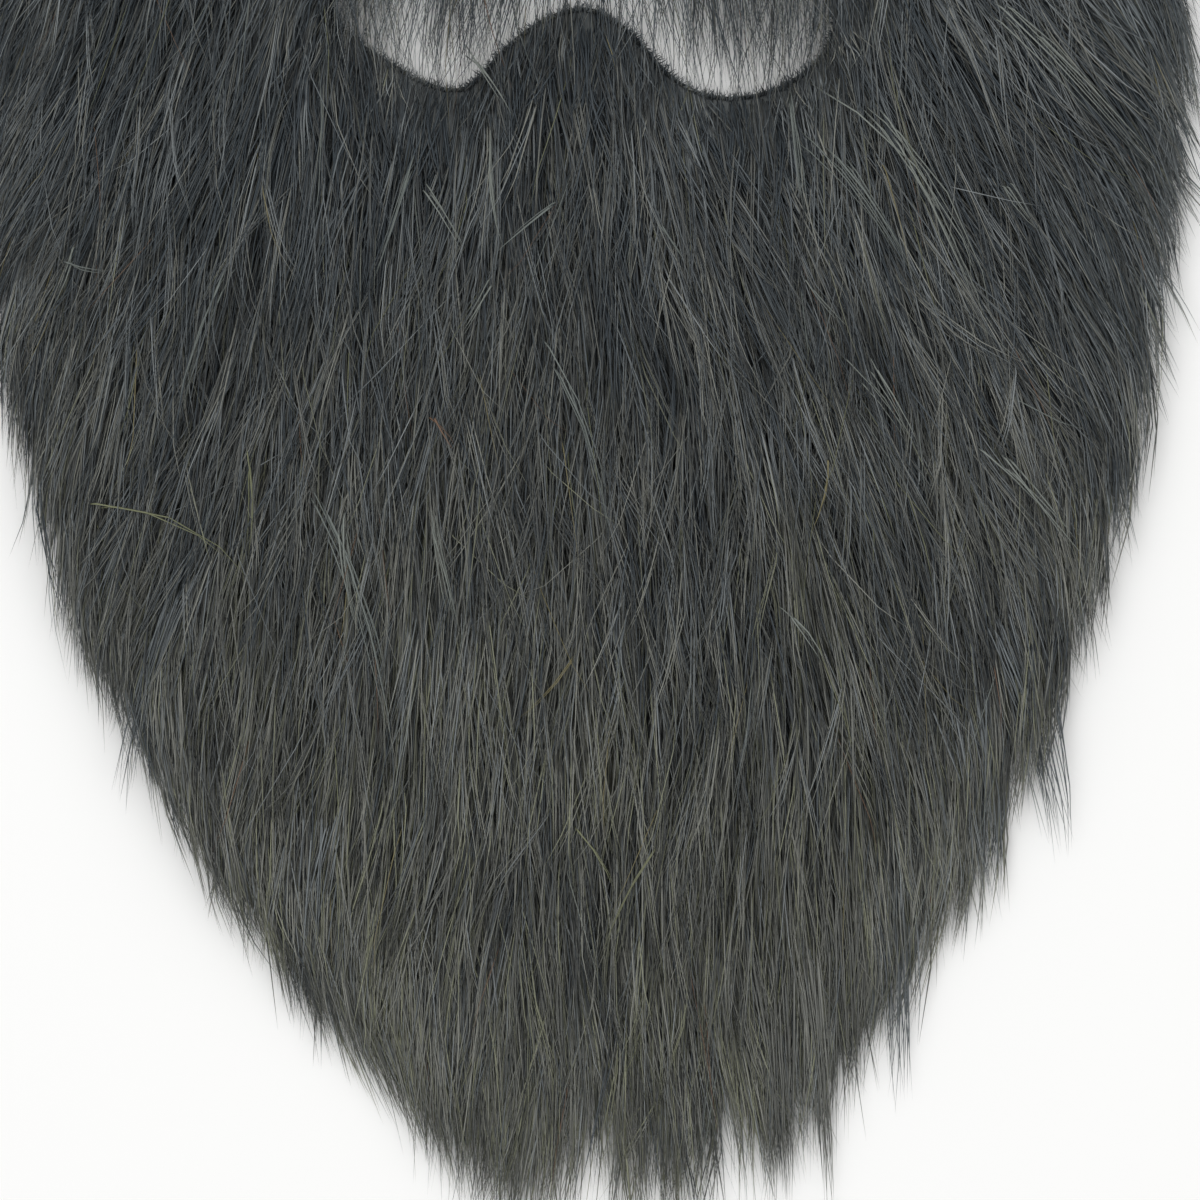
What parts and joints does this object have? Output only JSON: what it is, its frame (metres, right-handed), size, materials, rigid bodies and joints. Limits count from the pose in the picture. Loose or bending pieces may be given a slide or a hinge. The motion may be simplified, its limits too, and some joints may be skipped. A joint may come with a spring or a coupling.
{
  "type": "fake beard with moustache",
  "caption": "Full costume beard with moustache: long grey-black false fur on a knitted ground cloth with a mouth opening, and a flat elastic sewn behind the sideburns.",
  "frame": {"origin": "on the floor under the middle of the whole piece's box, as it lies on its back with the fur up", "axes": "+X across the face to the right of the picture, +Y up the face from chin to sideburns, +Z out of the face, away from the floor"},
  "size_m": [0.2584, 0.3958, 0.0214],
  "materials": {
    "false_hair": "soft, slightly glossy charcoal grey modacrylic pile about 50 mm long",
    "moustache_hair": "soft, slightly glossy charcoal grey modacrylic pile about 35 mm long",
    "ground_knit": "matt black knitted polyester ground",
    "elastic": "matt black braided elastic"
  },
  "bodies": {
    "root": {"beard_fur": "false_hair", "moustache_fur": "moustache_hair", "knit_backing": "ground_knit", "elastic_strap": "elastic"}
  },
  "joints": []
}
